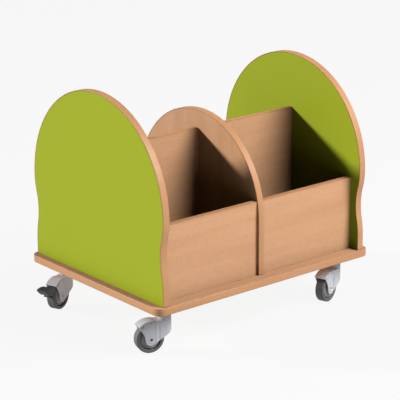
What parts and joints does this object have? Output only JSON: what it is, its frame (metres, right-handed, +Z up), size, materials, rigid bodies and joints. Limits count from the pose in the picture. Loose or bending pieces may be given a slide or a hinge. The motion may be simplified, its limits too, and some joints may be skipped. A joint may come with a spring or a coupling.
{
  "type": "book cart",
  "caption": "Low cart for children's books: rounded end panels, a lower rounded divider and a lengthwise wall form open-topped bays on a base board with swivel casters.",
  "frame": {"origin": "on the floor, under the middle of the overall footprint", "axes": "+X along the cart from the left end panel to the right one, -Y towards the front, +Z up"},
  "size_m": [0.8208, 0.556, 0.634],
  "materials": {
    "beech": "satin clear lacquer over fine, even grain",
    "beech_edge": "satin lacquered solid wood lipping",
    "chipboard": "raw board, hidden inside the end panels",
    "green_laminate": "smooth lime-green laminate with a soft sheen",
    "dowel_wood": "raw ribbed dowel, hidden",
    "grey_plastic": "light grey moulded plastic",
    "wheel_plastic": "light grey moulded plastic",
    "tread_rubber": "mid-grey soft rubber",
    "pedal_plastic": "dark grey moulded plastic",
    "steel": "bright zinc plating"
  },
  "bodies": {
    "cart": {"base_board": "beech", "divider": "beech", "centre_wall_left": "beech", "centre_wall_right": "beech", "front_panel_left": "beech", "front_panel_right": "beech", "rear_panel_left": "beech", "rear_panel_right": "beech", "base_lipping": "beech_edge", "end_lipping_left": "beech_edge", "end_lipping_right": "beech_edge", "divider_lipping": "beech_edge", "centre_wall_left_edging": "beech_edge", "centre_wall_right_edging": "beech_edge", "front_panel_left_edging": "beech_edge", "front_panel_right_edging": "beech_edge", "rear_panel_left_edging": "beech_edge", "rear_panel_right_edging": "beech_edge", "end_panel_left": "chipboard", "end_panel_right": "chipboard", "laminate_left_outer": "green_laminate", "laminate_left_inner": "green_laminate", "laminate_right_outer": "green_laminate", "laminate_right_inner": "green_laminate", "dowel_left_front": "dowel_wood", "dowel_left_rear": "dowel_wood", "dowel_right_front": "dowel_wood", "dowel_right_rear": "dowel_wood", "caster_front_left_stem": "steel", "caster_front_right_stem": "steel", "caster_rear_left_stem": "steel", "caster_rear_right_stem": "steel"},
    "swivel_front_left": {"caster_front_left_housing": "grey_plastic", "caster_front_left_swivel_race": "steel", "caster_front_left_axle": "steel"},
    "wheel_front_left": {"caster_front_left_bush": "wheel_plastic", "caster_front_left_wheel": "wheel_plastic", "caster_front_left_tread": "tread_rubber"},
    "swivel_front_right": {"caster_front_right_housing": "grey_plastic", "caster_front_right_swivel_race": "steel", "caster_front_right_axle": "steel"},
    "wheel_front_right": {"caster_front_right_bush": "wheel_plastic", "caster_front_right_wheel": "wheel_plastic", "caster_front_right_tread": "tread_rubber"},
    "swivel_rear_left": {"caster_rear_left_housing": "grey_plastic", "caster_rear_left_swivel_race": "steel", "caster_rear_left_axle": "steel", "caster_rear_left_pedal_pin": "steel"},
    "wheel_rear_left": {"caster_rear_left_bush": "wheel_plastic", "caster_rear_left_wheel": "wheel_plastic", "caster_rear_left_tread": "tread_rubber"},
    "pedal_rear_left": {"caster_rear_left_brake_pedal": "pedal_plastic"},
    "swivel_rear_right": {"caster_rear_right_housing": "grey_plastic", "caster_rear_right_swivel_race": "steel", "caster_rear_right_axle": "steel", "caster_rear_right_pedal_pin": "steel"},
    "wheel_rear_right": {"caster_rear_right_bush": "wheel_plastic", "caster_rear_right_wheel": "wheel_plastic", "caster_rear_right_tread": "tread_rubber"},
    "pedal_rear_right": {"caster_rear_right_brake_pedal": "pedal_plastic"}
  },
  "joints": [
    {"name": "front_left_swivel", "type": "hinge", "parent": "cart", "child": "swivel_front_left", "pos_m": [-0.292, -0.212, 0.09], "axis": [0, 0, 1], "continuous": true},
    {"name": "front_left_roll", "type": "hinge", "parent": "swivel_front_left", "child": "wheel_front_left", "pos_m": [-0.33237, -0.20042, 0.0375], "axis": [-0.2756, -0.9613, 0], "continuous": true},
    {"name": "front_right_swivel", "type": "hinge", "parent": "cart", "child": "swivel_front_right", "pos_m": [0.292, -0.212, 0.09], "axis": [0, 0, 1], "continuous": true},
    {"name": "front_right_roll", "type": "hinge", "parent": "swivel_front_right", "child": "wheel_front_right", "pos_m": [0.25183, -0.22428, 0.0375], "axis": [0.2924, -0.9563, 0], "continuous": true},
    {"name": "rear_left_swivel", "type": "hinge", "parent": "cart", "child": "swivel_rear_left", "pos_m": [-0.292, 0.212, 0.09], "axis": [0, 0, 1], "continuous": true},
    {"name": "rear_left_roll", "type": "hinge", "parent": "swivel_rear_left", "child": "wheel_rear_left", "pos_m": [-0.33094, 0.19627, 0.0375], "axis": [0.3746, -0.9272, 0], "continuous": true},
    {"name": "rear_left_brake", "type": "hinge", "parent": "swivel_rear_left", "child": "pedal_rear_left", "pos_m": [-0.35089, 0.18821, 0.07275], "axis": [0.3746, -0.9272, 0], "range_deg": [0, 12]},
    {"name": "rear_right_swivel", "type": "hinge", "parent": "cart", "child": "swivel_rear_right", "pos_m": [0.292, 0.212, 0.09], "axis": [0, 0, 1], "continuous": true},
    {"name": "rear_right_roll", "type": "hinge", "parent": "swivel_rear_right", "child": "wheel_rear_right", "pos_m": [0.33094, 0.19627, 0.0375], "axis": [0.3746, 0.9272, 0], "continuous": true},
    {"name": "rear_right_brake", "type": "hinge", "parent": "swivel_rear_right", "child": "pedal_rear_right", "pos_m": [0.35089, 0.18821, 0.07275], "axis": [0.3746, 0.9272, 0], "range_deg": [0, 12]}
  ]
}
